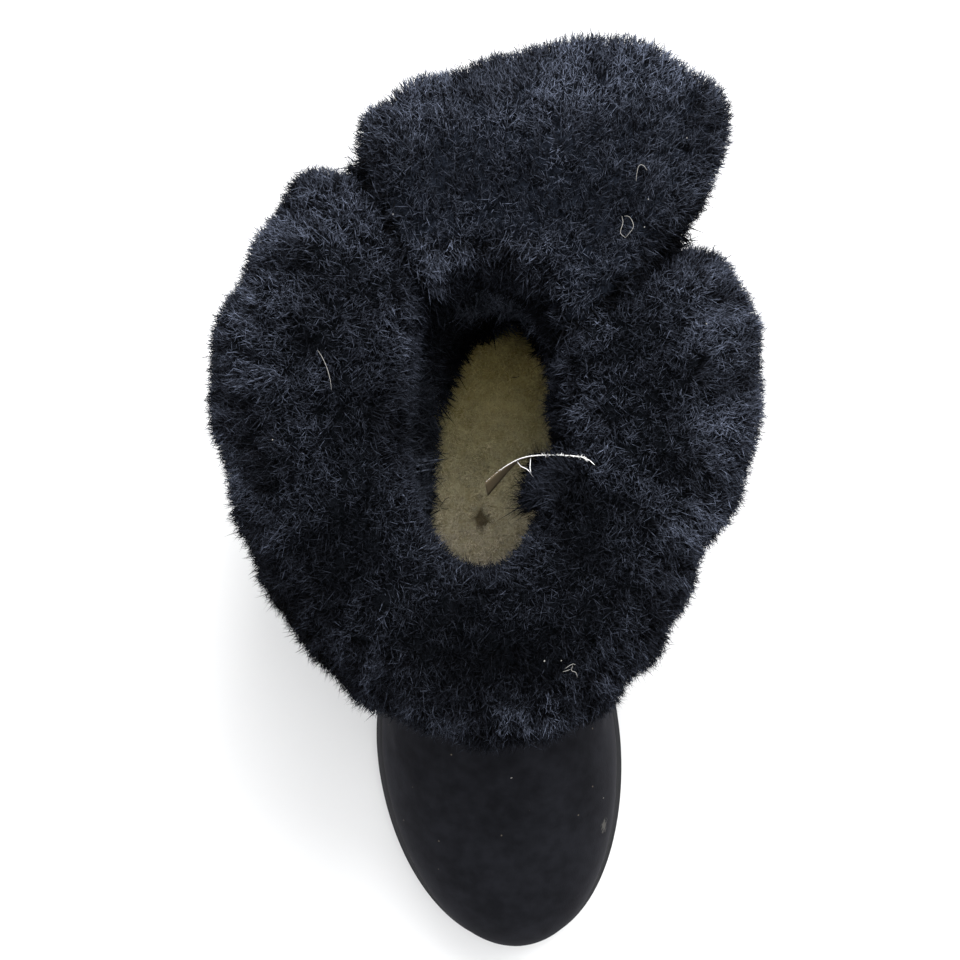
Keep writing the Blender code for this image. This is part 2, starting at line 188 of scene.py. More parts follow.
def mixed(tree, factor, first, second, blend_type="MIX"):
    """Mixes two colours. Each is a socket or a hex colour, and the factor a socket or a number."""
    node = add(tree, "Mix", data_type="RGBA", blend_type=blend_type)
    for name, value in (("Factor", factor), ("A", first), ("B", second)):
        socket = next(s for s in node.inputs if s.name == name and s.enabled)
        if isinstance(value, str):
            socket.default_value = colour(value)
        elif isinstance(value, (int, float)):
            socket.default_value = value
        else:
            tree.links.new(value, socket)
    return next(s for s in node.outputs if s.enabled)


def start(name, **sockets):
    """New material: returns it with its tree and its Principled shader."""
    material = bpy.data.materials.new(name)
    material.use_nodes = True
    tree = material.node_tree
    shader = tree.nodes["Principled BSDF"]
    for socket, value in sockets.items():
        shader.inputs[socket.replace("_", " ")].default_value = value
    return material, tree, shader


def texture(tree, kind, size_mm, place, **settings):
    """Noise or Voronoi texture whose features are about size_mm wide."""
    return add(tree, kind, [("Vector", place)], Scale=1.0 / (size_mm * MM), **settings)


def grains(tree, size_mm, place, **settings):
    """Soft noise from 0 to 1."""
    return texture(tree, "TexNoise", size_mm, place, **settings).outputs["Fac"]


def raise_bump(tree, shader, height, strength, depth):
    node = add(tree, "Bump", [("Height", height)], Strength=strength, Distance=depth)
    tree.links.new(node.outputs["Normal"], shader.inputs["Normal"])


def dress(obj, *materials):
    obj.data.materials.clear()
    for material in materials:
        obj.data.materials.append(material)


dress(floor, start("painted_floor", Roughness=0.9, Base_Color=colour("DADADA"))[0])

# %% [markdown]
# Suede is leather with its inner side brushed up into a short nap. It has no shine of its own, but the
# nap catches light at grazing angles, so edges look paler, which the sheen does. The nap lies in
# patches a few centimetres wide, each stroked a little differently, and picks up pale dust.

# %% Black suede
NAP_PATCH_MM = 24
NAP_STREAK_MM = 5.0
NAP_GRAIN_MM = 0.8
NAP_DEPTH = 0.25 * MM
DUST_CELL_MM = 5.0
DUST_SIZE = 0.08
DUST_SHARE = 0.2
SCUFF = (40.8, -173, 42.7)
SCUFF_REACH = (1.7, 3.6, 6)
SCUFF_STRENGTH = 0.45
SPOT_RAGGED = 2.4
SPOT_RAGGED_SIZE = 0.8
SPOT_EDGE = (2.1, 1.6)


def specks(tree, place, cell_mm, size, share):
    """Factor that is 1 on small round specks, a share of the cells of a Voronoi pattern having one."""
    cells = texture(tree, "TexVoronoi", cell_mm, place)
    near = spread(tree, cells.outputs["Distance"], size, size * 0.5)
    own = add(tree, "SeparateColor", [("Color", cells.outputs["Color"])])
    return maths(tree, "MULTIPLY", near, maths(tree, "GREATER_THAN", own.outputs["Red"], 1 - share))


def blot(tree, place, middle, reach):
    """Factor that is 1 at the middle of a spot and fades to 0 at its reach, both in mm."""
    from_middle = add(tree, "VectorMath", [(0, place)], operation="SUBTRACT")
    from_middle.inputs[1].default_value = [v * MM for v in middle]
    share = add(tree, "VectorMath", [(0, from_middle.outputs[0])], operation="DIVIDE")
    share.inputs[1].default_value = [v * MM for v in reach]
    far = add(tree, "VectorMath", [(0, share.outputs[0])], operation="LENGTH").outputs["Value"]
    ragged = grains(tree, min(reach) * SPOT_RAGGED_SIZE, place, Detail=3.0)
    return spread(tree, maths(tree, "ADD", far, maths(tree, "MULTIPLY", ragged, SPOT_RAGGED)), *SPOT_EDGE)


def suede(name, dark, light):
    material, tree, shader = start(name, Roughness=0.95, Specular_IOR_Level=0.06, Sheen_Weight=0.08,
                                   Sheen_Roughness=0.5, Sheen_Tint=colour("8C8A94"))
    place = add(tree, "TexCoord").outputs["Object"]
    patch = grains(tree, NAP_PATCH_MM, place, Detail=3.0)
    streak = grains(tree, NAP_STREAK_MM, place, Detail=5.0)
    grain = grains(tree, NAP_GRAIN_MM, place, Detail=2.0)
    blend = maths(tree, "MULTIPLY", maths(tree, "ADD", patch, streak), 0.5)
    tone = ramp(tree, blend, (0.38, dark), (0.62, light))
    tone = mixed(tree, specks(tree, place, DUST_CELL_MM, DUST_SIZE, DUST_SHARE), tone, "5C554C")
    scuff = maths(tree, "MULTIPLY", blot(tree, place, SCUFF, SCUFF_REACH), SCUFF_STRENGTH)
    tone = mixed(tree, scuff, tone, "6A6862")
    tree.links.new(tone, shader.inputs["Base Color"])
    raise_bump(tree, shader, maths(tree, "ADD", grain, streak), 0.3, NAP_DEPTH)
    return material


BLACK_SUEDE = suede("brushed_black_suede", "0E0F12", "18191D")
COUNTER_SUEDE = suede("brushed_black_suede_counter", "0D0E11", "16171B")
print("suede nap patches", NAP_PATCH_MM, "mm wide")

# %% [markdown]
# The sole is one moulding of foam rubber. Foam from a mould has a skin with a fine pebble grain and a
# dull shine, so a little bump under an even, half-rough coat is enough. Its gloss varies in clouds.

# %% Moulded foam sole
PEBBLE_MM = 0.9
PEBBLE_DEPTH = 0.15 * MM
CLOUD_MM = 18


def foam():
    material, tree, shader = start("moulded_foam_rubber", Specular_IOR_Level=0.35)
    place = add(tree, "TexCoord").outputs["Object"]
    pebble = texture(tree, "TexVoronoi", PEBBLE_MM, place).outputs["Distance"]
    cloud = grains(tree, CLOUD_MM, place, Detail=4.0)
    tree.links.new(ramp(tree, cloud, (0.35, "131316"), (0.7, "1C1C20")), shader.inputs["Base Color"])
    tree.links.new(spread(tree, cloud, 0.3, 0.7, 0.48, 0.68), shader.inputs["Roughness"])
    raise_bump(tree, shader, pebble, 0.3, PEBBLE_DEPTH)
    return material


FOAM = foam()

# %% [markdown]
# Wool is drawn as many thin blades. Their colour runs from almost black at the root to a cool dark
# grey at the tip, painted light and shade, because tips catch the light and roots lie in each other's
# shade. A second value gives each blade its own brightness, with painted light and shade in it: lighter
# where the wool faces the light, darker where it turns away. Both are kept in the blades' UV map: V runs
# along the blade and U is different for each. Under the blades lies matted wool, with the same tones as
# a fine grain.

# %% Wool
FLEECE_CLOUD_MM = 26
MAT_GRAIN_MM = 0.9
MAT_CLOT_MM = 5.4
# Painted shade on the cream wool, from the front to the heel, where it lies in the shaft's shade
HEEL_SHADE_FROM_TO = (-0.062, 0.012)
STAIN = (-8.4, -50.5, 33)
STAIN_REACH = (5.0, 6.0, 9.0)
STAIN_STRENGTH = 0.85
HIGHLIGHT_FLECK_MM = 1.0


def heel_shade_and_stain(tree, place, tone):
    """Painted shade: cream wool turns yellower and darker towards the heel, which lies in the shaft's shade.
    It also has one brown stain.
    """
    along = spread(tree, add(tree, "SeparateXYZ", [("Vector", place)]).outputs["Y"], *HEEL_SHADE_FROM_TO)
    heel_shade_tint = ramp(tree, along, (0.0, "FFFFFF"), (0.5, "E1E1CB"), (1.0, "DED7A6"))
    stain = maths(tree, "MULTIPLY", blot(tree, place, STAIN, STAIN_REACH), STAIN_STRENGTH)
    return mixed(tree, stain, mixed(tree, 1.0, tone, heel_shade_tint, "MULTIPLY"), "4A3E28")


def blade_wool(name, stops, cloud_dark, sheen, cream=False, highlight_flecks=(0.4, 1.6)):
    material, tree, shader = start(name, Roughness=0.8, Specular_IOR_Level=0.03, Sheen_Weight=sheen,
                                   Sheen_Tint=colour("A8AEC0"))
    where = add(tree, "SeparateXYZ", [("Vector", add(tree, "UVMap").outputs["UV"])])
    tone = ramp(tree, where.outputs["Y"], *stops)
    place = add(tree, "TexCoord").outputs["Object"]
    cloud = grains(tree, FLEECE_CLOUD_MM, place, Detail=2.0)
    tone = mixed(tree, spread(tree, cloud, 0.42, 0.62, 0.0, 0.6), tone, cloud_dark)
    if cream:
        tone = heel_shade_and_stain(tree, place, tone)
    # Painted highlights: small flecks along each blade, where curled hairs catch the light
    highlight_fleck = grains(tree, HIGHLIGHT_FLECK_MM, place, Detail=1.0)
    own = maths(tree, "MULTIPLY", spread(tree, where.outputs["X"], 0.0, 1.0, 0.0, 2.0),
                spread(tree, highlight_fleck, 0.38, 0.62, *highlight_flecks))
    tree.links.new(mixed(tree, 1.0, tone, own, "MULTIPLY"), shader.inputs["Base Color"])
    return material


def matted_wool(name, dark, light, depth, cream=False):
    material, tree, shader = start(name, Roughness=1.0, Specular_IOR_Level=0.02)
    place = add(tree, "TexCoord").outputs["Object"]
    grain = grains(tree, MAT_GRAIN_MM, place, Detail=4.0, Distortion=0.6)
    clot = grains(tree, MAT_CLOT_MM, place, Detail=3.0)
    both = maths(tree, "MULTIPLY", maths(tree, "ADD", grain, clot), 0.5)
    tone = ramp(tree, both, (0.38, dark), (0.62, light))
    tree.links.new(heel_shade_and_stain(tree, place, tone) if cream else tone, shader.inputs["Base Color"])
    raise_bump(tree, shader, both, 0.9, depth)
    return material


BLACK_WOOL = blade_wool("black_sheepskin_wool", [(0.0, "060708"), (0.45, "111216"), (1.0, "535968")],
                        "0C0D10", 0.0)
BLACK_MAT = matted_wool("matted_black_wool", "030405", "0F1115", 1.2 * MM)
# The flap's matted wool is a lighter copy of the black mat: painted light, where the raised flap faces the
# light
PAINTED_LIGHT_FLAP_MAT = matted_wool("matted_black_flap_wool_painted_light", "0A0C10", "1B1F27", 1.2 * MM)
# The lining's wool and mat are lighter copies of the black wool: painted light, standing in for the light
# that reaches down the shaft
PAINTED_LIGHT_LINING_WOOL = blade_wool("black_lining_wool_painted_light", [(0.0, "14161A"), (1.0, "454A55")], "16181C", 0.05)
PAINTED_LIGHT_LINING_MAT = matted_wool("matted_black_lining_painted_light", "141619", "30343C", 1.0 * MM)
CREAM_WOOL = blade_wool("cream_sheepskin_wool", [(0.0, "938769"), (1.0, "DBD1BD")], "C2B99D", 0.1,
                        cream=True, highlight_flecks=(0.85, 1.15))
CREAM_MAT = matted_wool("matted_cream_wool", "93896B", "C8BFA5", 1.0 * MM, cream=True)

# %% [markdown]
# The solids are made of large flat triangles. A copy whose triangles are merged to quads can be rounded
# by subdivision without changing its form, and then it takes the finer relief of the real surface.

# %% Mesh helpers
WELD = 0.01 * MM
QUAD_FOLD = 0.9
QUAD_SHAPE = 1.2


def merged_copy(node, name, levels, crisp_angle=math.pi):
    """New piece with the node's shape, its loose triangles merged to quads and rounded."""
    obj = into_scene(name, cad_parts[node].data.copy())
    only(obj)
    bpy.ops.object.mode_set(mode="EDIT")
    bpy.ops.mesh.select_all(action="SELECT")
    bpy.ops.mesh.remove_doubles(threshold=WELD)
    bpy.ops.mesh.tris_convert_to_quads(face_threshold=QUAD_FOLD, shape_threshold=QUAD_SHAPE)
    bpy.ops.mesh.select_mode(type="EDGE")
    bpy.ops.mesh.select_all(action="DESELECT")
    bpy.ops.mesh.edges_select_sharp(sharpness=crisp_angle)
    bpy.ops.transform.edge_crease(value=1.0)
    bpy.ops.mesh.mark_sharp()
    bpy.ops.object.mode_set(mode="OBJECT")
    if levels:
        rounding = obj.modifiers.new("rounding", "SUBSURF")
        rounding.levels = rounding.render_levels = levels
        bpy.ops.object.modifier_apply(modifier=rounding.name)
    obj.data.shade_smooth()
    return obj


def unit(vectors):
    return vectors / np.maximum(np.linalg.norm(vectors, axis=1), 1e-9)[:, None]


def triples(items, key, kind=float):
    """Three numbers for each of a mesh's points or faces."""
    values = np.empty(len(items) * 3, dtype=kind)
    items.foreach_get(key, values)
    return values.reshape(-1, 3)


def triangles(obj):
    """The mesh as arrays: points, triangles, face normals as long as twice the area, point normals."""
    obj.data.calc_loop_triangles()
    points = triples(obj.data.vertices, "co")
    corners = triples(obj.data.loop_triangles, "vertices", np.int32)
    a, b, c = (points[corners[:, i]] for i in range(3))
    faces = np.cross(b - a, c - a)
    smooth = np.zeros_like(points)
    for i in range(3):
        np.add.at(smooth, corners[:, i], faces)
    return points, corners, faces, unit(smooth)


def set_points(obj, points):
    obj.data.vertices.foreach_set("co", points.reshape(-1))
    obj.data.update()


def face_arrays(obj):
    """Middle and normal of each face of the mesh."""
    return triples(obj.data.polygons, "center"), triples(obj.data.polygons, "normal")


# Without a seed Blender's noise vectors come out different each time the script runs
SEED = 20
SEED_STEP = (7.3, 1.9, 4.1)
noise.seed_set(SEED)


def swirl(places, size, seed):
    """Smooth random vectors, one patch as wide as the size."""
    shift = Vector([seed * step for step in SEED_STEP])
    return np.array([noise.noise_vector(Vector(place) / size + shift) for place in places])


def lengths_along(line):
    """How far along the line each of its points lies."""
    return np.concatenate(((0,), np.cumsum(np.linalg.norm(np.diff(line, axis=0), axis=1))))


def place_piece(obj, slot, *nodes):
    """The piece rides with the boot and stands for these nodes, which it hides. The slot is not used."""
    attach(obj, "root")
    if nodes:
        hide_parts(*nodes)
    print(obj.name, len(obj.data.polygons), "faces")


# %% [markdown]
# The upper is one hollow suede shell. Its inner wall carries the lining's wool, so it gets a second
# finish. Soft creases come where a foot bends the boot: across the ball, and round the ankle, where the
# shaft folds when somebody walks. Each crease is a shallow trough with a low ridge on either side.

# %% Suede upper
UPPER_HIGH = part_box("upper")[1]
COLLAR = UPPER_HIGH[2]
RIM_BAND = 2 * MM
SHAFT_BOTTOM = 0.075
AXIS_HEIGHT = 0.030
AXIS_BACK = -0.010
AXIS_FRONT = -0.190


def rim_oval():
    """Middle and half sizes of the shaft's rim, read from the upper's topmost points."""
    points = triples(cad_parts["upper"].data.vertices, "co")
    top = points[points[:, 2] > COLLAR - RIM_BAND][:, :2]
    low, high = top.min(axis=0), top.max(axis=0)
    return (low + high) / 2, (high - low) / 2


RIM_MIDDLE, RIM_HALF = rim_oval()
print("rim", (RIM_HALF * 2 / MM).round(1), "mm across and along")


def faces_foot(middles, normals):
    """True for the inner wall: its normal points to the line that runs through foot and leg."""
    axis = np.zeros_like(middles)
    axis[:, 1] = np.clip(middles[:, 1], AXIS_FRONT, AXIS_BACK)
    axis[:, 2] = AXIS_HEIGHT
    leg = middles[:, 2] > SHAFT_BOTTOM
    axis[leg, :2] = RIM_MIDDLE
    axis[leg, 2] = middles[leg, 2]
    return ((middles - axis) * normals).sum(axis=1) < 0


# Each crease: its ends in mm on the boot, and its width and depth in mm
CREASES = (
    ((-45, -138, 34), (42, -130, 36), 5.0, 0.45),
    ((-44, -122, 40), (40, -113, 42), 6.0, 0.55),
    ((-40, -80, 62), (-14, -96, 82), 5.0, 0.9),
    ((38, -80, 60), (12, -96, 82), 5.0, 0.9),
    ((-44, -40, 66), (-34, -74, 88), 6.0, 1.6),
    ((40, -40, 66), (30, -74, 88), 6.0, 1.6),
    ((-46, -20, 84), (-36, -62, 102), 6.0, 1.0),
    ((38, -20, 84), (26, -62, 102), 6.0, 1.0),
    ((-38, 18, 78), (36, 20, 80), 7.0, 0.8),
)
CREASE_STEPS = 24
CREASE_ENDS = (0.02, 0.98)
CREASE_FADE = 0.7
CREASE_FALL = 1.5
RIDGE_SHARE = 0.45
RIDGE_PLACE = 1.7


def crease(points, tree):
    """How far each point moves along its normal for all the creases together."""
    moved = np.zeros(len(points))
    for start_mm, end_mm, width, depth in CREASES:
        first, last = np.array(start_mm) * MM, np.array(end_mm) * MM
        shares = np.linspace(0, 1, CREASE_STEPS)
        line = [tree.find_nearest(Vector(first + (last - first) * share))[0] for share in shares]
        gaps = np.linalg.norm(points[:, None, :] - np.array(line)[None, :, :], axis=2)
        nearest_step = gaps.argmin(axis=1)
        gap = gaps.min(axis=1) / (width * MM)
        fade = np.sin(np.pi * np.clip(shares[nearest_step], *CREASE_ENDS)) ** CREASE_FADE
        ridge = RIDGE_SHARE * np.exp(-((gap - RIDGE_PLACE) ** 2) * CREASE_FALL)
        profile = ridge - np.exp(-(gap**2) * CREASE_FALL)
        moved += profile * fade * depth * MM
    return moved


upper = merged_copy("upper", "suede_upper", 2)
points, corners, faces, smooth = triangles(upper)
outer = BVHTree.FromPolygons(points.tolist(), corners.tolist())
inner = faces_foot(*face_arrays(upper))
vertex_inner = faces_foot(points, smooth)
shift = np.where(vertex_inner, 0.0, crease(points, outer))
set_points(upper, points + smooth * shift[:, None])
dress(upper, BLACK_SUEDE, PAINTED_LIGHT_LINING_MAT)
upper.data.polygons.foreach_set("material_index", inner.astype(np.int32))
upper.data.update()
place_piece(upper, "black_suede", "upper")

# %% [markdown]
# The heel counter and the sole keep their solids' form. Their copies only lose the hard facets: the
# counter by rounding, the sole by rounding with every edge sharper than an angle kept crisp, so that its
# steps and lugs stay.

# %% Heel counter and sole
CRISP_ANGLE = math.radians(32)
counter = merged_copy("heel_counter", "suede_heel_counter", 1)
dress(counter, COUNTER_SUEDE)
place_piece(counter, "counter_suede", "heel_counter")

sole = merged_copy("outsole", "foam_sole", 2, CRISP_ANGLE)
dress(sole, FOAM)
place_piece(sole, "sole_foam", "outsole")

# %% [markdown]
# Under the visible hairs lies the mass of the wool. It is the cuff's own solid, drawn in a few
# millimetres on the wool side, so that it fills the gaps between hairs with a dark, clotted surface. On
# its skin side it keeps its place and shows the suede that is seen when the boot is lifted. It also keeps
# its place where the flap meets the rest of the cuff, so that no gap opens there.

# %% The mass of wool
WOOL_DEPTH = 2.6 * MM
CLOT_SIZE = 5 * MM
CLOT_HEIGHT = 0.9 * MM
SEAM_REACH = 7 * MM
SEAM_LEAST = 0.1
# No wool grows this near to the rim on either side, up to this height over it
BESIDE_RIM = (-7.5 * MM, 3.5 * MM)
RIM_COVER = 3 * MM
# The skin side lies farther out than this, and faces out and up less than this
SKIN_OUT = 1 * MM
SKIN_FACING = -0.15
SKIN_UP = 0.5


def outwards(points):
    """Level direction away from the rim's middle, and how far outside the rim each point lies."""
    level = points[:, :2] - RIM_MIDDLE
    far = np.linalg.norm(level, axis=1)
    edge = far / np.maximum(np.linalg.norm(level / RIM_HALF, axis=1), 1e-6)
    away = np.zeros_like(points)
    away[:, :2] = level / np.maximum(far, 1e-6)[:, None]
    return away, far - edge


def on_wool_side(middles, normals):
    """True where the cuff carries wool: not on its skin side and not against the rim."""
    away, out = outwards(middles)
    facing = (normals * away).sum(axis=1)
    beside_rim = (out > BESIDE_RIM[0]) & (out < BESIDE_RIM[1]) & (middles[:, 2] < COLLAR + RIM_COVER)
    skin = (out > SKIN_OUT) & (facing < SKIN_FACING) & (normals[:, 2] < SKIN_UP)
    return ~beside_rim & ~skin


def tree_of(node):
    """Search tree over the solid's triangles."""
    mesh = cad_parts[node].data
    mesh.calc_loop_triangles()
    return BVHTree.FromPolygons([v.co for v in mesh.vertices], [t.vertices for t in mesh.loop_triangles])


def wool_mass(node, name, neighbour, mat):
    """The node's solid with its wool side drawn in, except near the other part of the cuff."""
    obj = merged_copy(node, name, 2)
    points, corners, faces, smooth = triangles(obj)
    other = tree_of(neighbour)
    wooled = on_wool_side(points[corners].mean(axis=1), unit(faces)).astype(float)
    weight, count = np.zeros((2, len(points)))
    for i in range(3):
        np.add.at(weight, corners[:, i], wooled)
        np.add.at(count, corners[:, i], 1.0)
    gaps = np.array([other.find_nearest(Vector(p), SEAM_REACH)[3] or SEAM_REACH for p in points])
    share = (weight / np.maximum(count, 1)) ** 2 * np.clip(gaps / SEAM_REACH, SEAM_LEAST, 1) ** 2
    clots = swirl(points, CLOT_SIZE, seed=5)[:, 0] * CLOT_HEIGHT
    set_points(obj, points - smooth * ((WOOL_DEPTH + clots) * share)[:, None])
    skin = ~on_wool_side(*face_arrays(obj))
    dress(obj, mat, BLACK_SUEDE)
    obj.data.polygons.foreach_set("material_index", skin.astype(np.int32))
    place_piece(obj, "black_wool", node)


wool_mass("cuff_wrap", "wrap_wool_mass", "cuff_flap", BLACK_MAT)
wool_mass("cuff_flap", "flap_wool_mass", "cuff_wrap", PAINTED_LIGHT_FLAP_MAT)

# %% [markdown]
# Real wool grows in wisps: a few hairs lean together and share a tip, and many wisps lean together
# again as a lock. Blades scattered one by one look like a brush instead. So each blade belongs to a
# wisp, which gathers its blades' tips, and each wisp leans towards the middle of its lock.

# %% Growing wool in wisps and locks
RNG = np.random.default_rng(SEED)
# The way to the brightest light, and where along its length a blade bends
WINDOW = np.array((0.25, 0.60, 0.76))
MIDDLE_SHARE = 0.55
SLICE = 2000
LEAST_LOCKS = 3
SHALLOW = 0.3 * MM
LOCK_PULL = 0.2
LOCK_DRIFT = 12 * MM
DRIFT_SHARE = 0.5
TALL_SPREAD = 0.18
LEAN_SPREAD = 0.45
# How far a wisp spreads at its foot, as a share of its room, and how much of that is left at its head
FOOT_REACH = 0.75
HEAD_REACH = 0.4
BEND_HEIGHT = 0.7
SHORTEST = 0.62
SIDE_SPREAD = 0.35
WIDTHS = (0.7, 1.3)
# The least light, the least tones of blade, wisp and lock, and the middle of those tones
LIGHT_BEHIND = 0.25
LIGHT_LEAST = 0.12
BLADE_LEAST = 0.4
WISP_LEAST = 0.25
WISP_POWER = 1.5
LOCK_LEAST = 0.6
WISP_MIDDLE = 0.39
LOCK_MIDDLE = 0.8
OWN_LEVEL = 0.65


def scatter(arrays, count):
    """Random places on the triangles, evenly by area, with the smooth normal at each."""
    points, corners, faces, smooth = arrays
    area = np.linalg.norm(faces, axis=1)
    chosen = corners[RNG.choice(len(corners), size=count, p=area / area.sum())]
    a, b = RNG.random(count), RNG.random(count)
    flip = a + b > 1
    a[flip], b[flip] = 1 - a[flip], 1 - b[flip]
    weights = np.stack((1 - a - b, a, b), axis=1)[:, :, None]
    return (points[chosen] * weights).sum(axis=1), unit((smooth[chosen] * weights).sum(axis=1))


def along_surface(vectors, normals):
    """The part of each vector that lies along the surface."""
    return vectors - (vectors * normals).sum(axis=1)[:, None] * normals


def nearest(places, centres):
    """Number of the nearest centre for each place, worked out a slice at a time."""
    found = np.empty(len(places), dtype=np.int64)
    for first in range(0, len(places), SLICE):
        gaps = places[first : first + SLICE, None, :] - centres[None, :, :]
        found[first : first + SLICE] = (gaps**2).sum(axis=2).argmin(axis=1)
    return found


def evenly(places):
    return 1.0


def from_least(least, share):
    """A share from 0 to 1, moved to run from the least value to 1."""
    return least + (1 - least) * share


def grow(arrays, flow, blades, a_wisp, length, width, lock_area,
         depth=SHALLOW, curl=1.1 * MM, tone=evenly, contrast=1.0):
    """Blades in wisps and locks: their roots, middles and tips, side vectors and own values, which carry
    painted light and shade.
    """
    area = np.linalg.norm(arrays[2], axis=1).sum() / 2
    wisps = blades // a_wisp
    reach = math.sqrt(area / wisps) * FOOT_REACH
    locks = scatter(arrays, max(int(area / lock_area), LEAST_LOCKS))[0]
    centres, normals = scatter(arrays, wisps)
    lock = nearest(centres, locks)
    lock_tone = RNG.random(len(locks))
    drift = swirl(centres, LOCK_DRIFT, seed=3)
    uneven = RNG.uniform(-TALL_SPREAD, TALL_SPREAD, wisps)
    tall = length * (1 + DRIFT_SHARE * drift[:, 2] + uneven)[:, None]
    lean = flow(centres, normals) + DRIFT_SHARE * drift + RNG.normal(0, LEAN_SPREAD, (wisps, 3))
    heads = centres + (normals + along_surface(lean, normals)) * tall
    heads += along_surface((locks[lock] - centres) * LOCK_PULL, normals)

    home = np.repeat(np.arange(wisps), a_wisp)
    count = len(home)
    disc = along_surface(RNG.normal(0, reach, (count, 3)), normals[home])
    roots = centres[home] + disc - normals[home] * depth
    tips = heads[home] + disc * HEAD_REACH + RNG.normal(0, curl, (count, 3))
    tips += along_surface(RNG.normal(0, curl, (count, 3)), normals[home])
    tips = roots + (tips - roots) * RNG.uniform(SHORTEST, 1.0, count)[:, None]
    bend = roots + normals[home] * (depth + length) * BEND_HEIGHT + RNG.normal(0, curl, (count, 3))
    t = MIDDLE_SHARE
    middles = roots * (1 - t) ** 2 + bend * 2 * t * (1 - t) + tips * t**2
    side = unit(np.cross(tips - roots, normals[home] + RNG.normal(0, SIDE_SPREAD, (count, 3))))
    side *= (width / 2 * RNG.uniform(*WIDTHS, count))[:, None]

    # Painted light and shade: a blade is lighter where its surface faces the window, times the place's tone
    light = np.clip(from_least(LIGHT_BEHIND, normals @ WINDOW), LIGHT_LEAST, 1.0)
    lit = (light * tone(centres))[home]
    chance = from_least(BLADE_LEAST, RNG.random(count))
    chance = chance * from_least(WISP_LEAST, RNG.random(wisps)[home] ** WISP_POWER) / WISP_MIDDLE
    lock_share = from_least(LOCK_LEAST, lock_tone[lock][home])
    own = OWN_LEVEL * lit * (chance * lock_share / LOCK_MIDDLE) ** contrast
    return roots, middles, tips, side, np.clip(own, 0, 1)


def blades_mesh(name, roots, middles, tips, side, own):
    """One mesh of tapered blades, a quad and a tip each, with U for the blade and V along it."""
    count = len(roots)
    rows = (roots - side, roots + side, middles - side, middles + side, tips)
    points = np.stack(rows, axis=1).reshape(-1, 3)
    quads = np.array((0, 1, 3, 2, 2, 3, 4))
    loops = ((np.arange(count) * len(rows))[:, None] + quads).reshape(-1)
    starts = ((np.arange(count) * len(quads))[:, None] + np.array((0, 4))).reshape(-1)
    mesh = bpy.data.meshes.new(name)
    mesh.vertices.add(len(points))
    mesh.vertices.foreach_set("co", points.reshape(-1))
    mesh.loops.add(len(loops))
    mesh.loops.foreach_set("vertex_index", loops.astype(np.int32))
    mesh.polygons.add(len(starts))
    mesh.polygons.foreach_set("loop_start", starts.astype(np.int32))
    along = np.array((0, 0, MIDDLE_SHARE, MIDDLE_SHARE, 1.0))[quads]
    uv = np.stack((np.repeat(own, len(quads)), np.tile(along, count)), axis=1)
    mesh.uv_layers.new(name="UVMap").data.foreach_set("uv", uv.reshape(-1))
    mesh.update(calc_edges=True)
    return into_scene(name, mesh)


BLADES_A_PIECE = 60000


def wool_pieces(name, grown, material=BLACK_WOOL, slot="black_wool"):
    """The blades in pieces that each stay under 200,000 triangles."""
    for number, first in enumerate(range(0, len(grown[0]), BLADES_A_PIECE)):
        part = [values[first : first + BLADES_A_PIECE] for values in grown]
        piece = blades_mesh(f"{name}_{number + 1}", *part)
        dress(piece, material)
        place_piece(piece, slot)


def part_of(obj, keep):
    """The mesh's arrays with only the triangles for which keep says yes."""
    points, corners, faces, smooth = triangles(obj)
    kept = keep(points[corners].mean(axis=1), unit(faces))
    return points, corners[kept], faces[kept], smooth


def grow_over(node, keep, **how):
    """Wool over the part of the node's rounded surface for which keep says yes."""
    cover = merged_copy(node, node + "_cover", 1)
    arrays = part_of(cover, keep)
    bpy.data.objects.remove(cover, do_unlink=True)
    return grow(arrays, **how)


# %% [markdown]
# On the cuff the wool stands nearly straight up from the skin and falls a little, outwards on the outer
# side and into the mouth on the inner side. It isn't evenly black, and its blades carry painted light and
# shade: the flap and the inner side's edge are painted lighter where they catch the light, and painted
# shade marks a dark valley round the front of the mouth. A short table names these places. Furrows
# between tufts run outwards, like the folds of a ruff, painted as shade between lighter tufts, and get
# stronger to the hem.

# %% Wool of the cuff
# Each patch of wool: its middle and its reach in mm, across and along the boot, and its tone, painted light
# above 1 and painted shade below 1
LIGHT_AND_SHADE_PATCHES = (
    (-2, -84, 40, 19, 0.08),
    (25, -54, 16, 16, 0.35),
    (-50, -56, 24, 28, 0.12),
    (-41, -20, 15, 22, 0.5),
    (42, 2, 13, 14, 0.45),
    (36, -14, 11, 18, 0.7),
    (16, 84, 48, 22, 2.2),
    (10, 54, 26, 12, 0.5),
    (70, -14, 14, 28, 1.5),
    (52, -47, 8, 5, 2.4),
    (-26, 8, 9, 22, 1.5),
    (-68, -10, 18, 40, 0.7),
    (-82, -24, 10, 22, 1.5),
    (-71, -52, 10, 18, 1.5),
    (-31, -105, 17, 8, 2.8),
    (20, -109, 18, 8, 1.6),
    (-10, -65, 20, 8, 0.5),
)
# Furrows of painted shade between the tufts, with lighter painted tufts between them
FURROW = 3.0 * MM
FURROW_LENGTH = 34 * MM
FURROW_TURN = 80 * MM
FURROW_STRENGTH = 1.7
FURROWS_FROM = 5 * MM
FURROWS_OVER = 25 * MM
FURROWS_LEAST = 0.3
# How many blades each part has, and how much they differ in tone
CUFF_BLADES = {"cuff_wrap": (150000, 1.0), "cuff_flap": (45000, 0.7)}
PILE = 2.0 * MM
ROOT_DEPTH = WOOL_DEPTH + 0.8 * MM
BLADE_WIDTH = 0.23 * MM
LOCK_AREA = 70e-6
# Where the crest lies from the rim, how wide it turns, and how far the wool leans from it
CREST = -2 * MM
CREST_BAND = 8 * MM
LEAN = 0.3
LEAN_MORE = 0.4
LEAN_FROM = 15 * MM
LEAN_OVER = 25 * MM
DROOP = 0.2


